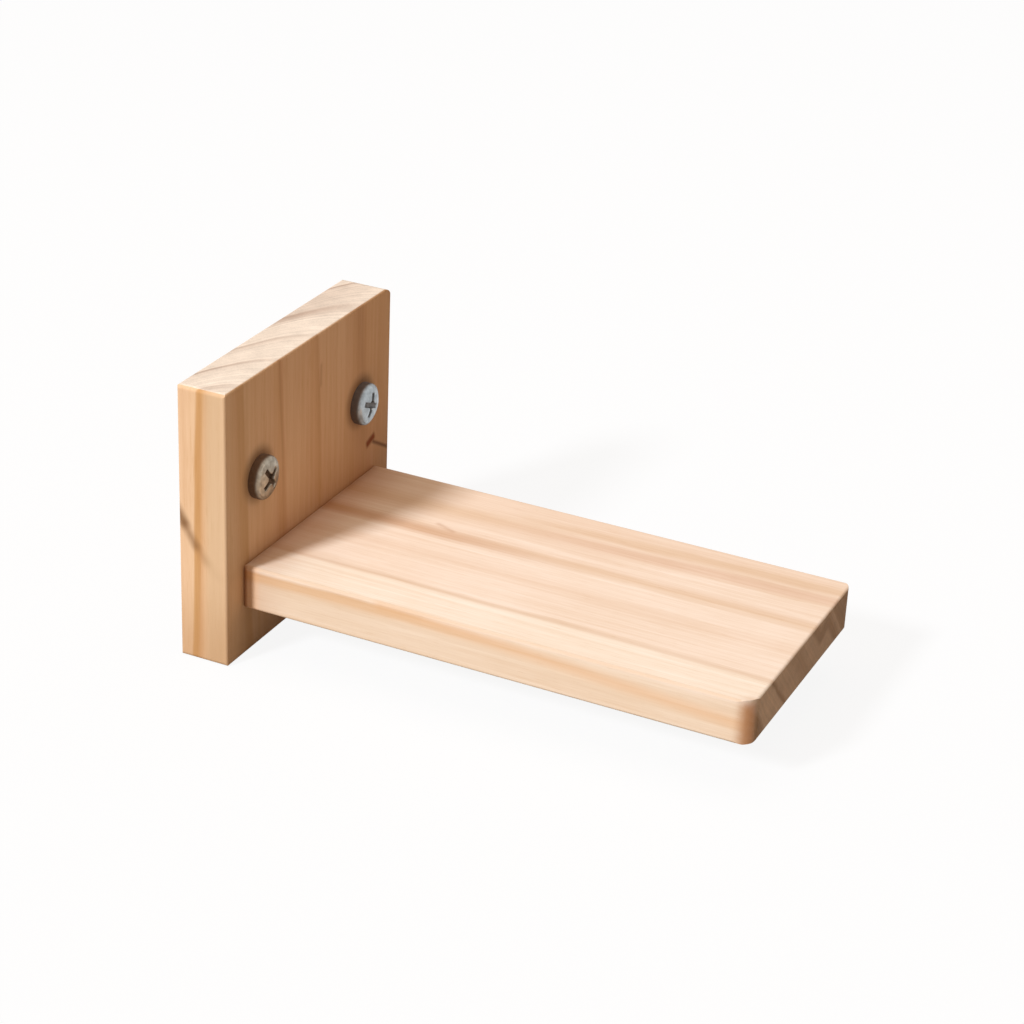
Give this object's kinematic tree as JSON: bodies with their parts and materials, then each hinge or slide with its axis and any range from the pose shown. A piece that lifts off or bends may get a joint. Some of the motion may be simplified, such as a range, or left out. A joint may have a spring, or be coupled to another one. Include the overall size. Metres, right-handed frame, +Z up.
{
  "type": "cage-mounted cat ladder step",
  "caption": "Wooden step for a pet cage: an upright backplate, clamped to the mesh by bolts with washers and nuts, carries a level board with rounded front corners.",
  "frame": {"origin": "on the backplate's back face, midway between the two cage bolts", "axes": "+X runs along the step, away from the cage; +Y runs across the step to the right-hand side of someone who faces the cage; +Z is up"},
  "size_m": [0.1744, 0.092, 0.082],
  "materials": {
    "backplate_wood": "sanded pine, unvarnished",
    "step_wood": "sanded pine, unvarnished",
    "screw_steel": "yellow zinc plate",
    "zinc_steel": "bright zinc plate"
  },
  "bodies": {
    "platform": {"backplate": "backplate_wood", "step_board": "step_wood", "joint_screw_left": "screw_steel", "joint_screw_right": "screw_steel"},
    "bolt_left": {"cage_bolt_left": "zinc_steel"},
    "bolt_right": {"cage_bolt_right": "zinc_steel"},
    "washer_left": {"clamp_washer_left": "zinc_steel"},
    "washer_right": {"clamp_washer_right": "zinc_steel"},
    "nut_left": {"cage_nut_left": "zinc_steel"},
    "nut_right": {"cage_nut_right": "zinc_steel"}
  },
  "joints": [
    {"name": "bolt_left_turn", "type": "hinge", "parent": "platform", "child": "bolt_left", "pos_m": [0, -0.0285, 0], "axis": [-1, 0, 0], "continuous": true},
    {"name": "bolt_right_turn", "type": "hinge", "parent": "platform", "child": "bolt_right", "pos_m": [0, 0.0285, 0], "axis": [-1, 0, 0], "continuous": true},
    {"name": "washer_left_slide", "type": "slide", "parent": "platform", "child": "washer_left", "axis": [-1, 0, 0], "range_m": [0, 0.003]},
    {"name": "washer_right_slide", "type": "slide", "parent": "platform", "child": "washer_right", "axis": [-1, 0, 0], "range_m": [0, 0.003]},
    {"name": "nut_left_turn", "type": "hinge", "parent": "washer_left", "child": "nut_left", "pos_m": [0, -0.0285, 0], "axis": [-1, 0, 0], "range_deg": [0, 1080]},
    {"name": "nut_right_turn", "type": "hinge", "parent": "washer_right", "child": "nut_right", "pos_m": [0, 0.0285, 0], "axis": [-1, 0, 0], "range_deg": [0, 1080]}
  ],
  "couplings": [
    {"joint": "nut_left_turn", "follows": "washer_left_slide", "rad_per_m": 6283.2},
    {"joint": "nut_right_turn", "follows": "washer_right_slide", "rad_per_m": 6283.2}
  ]
}
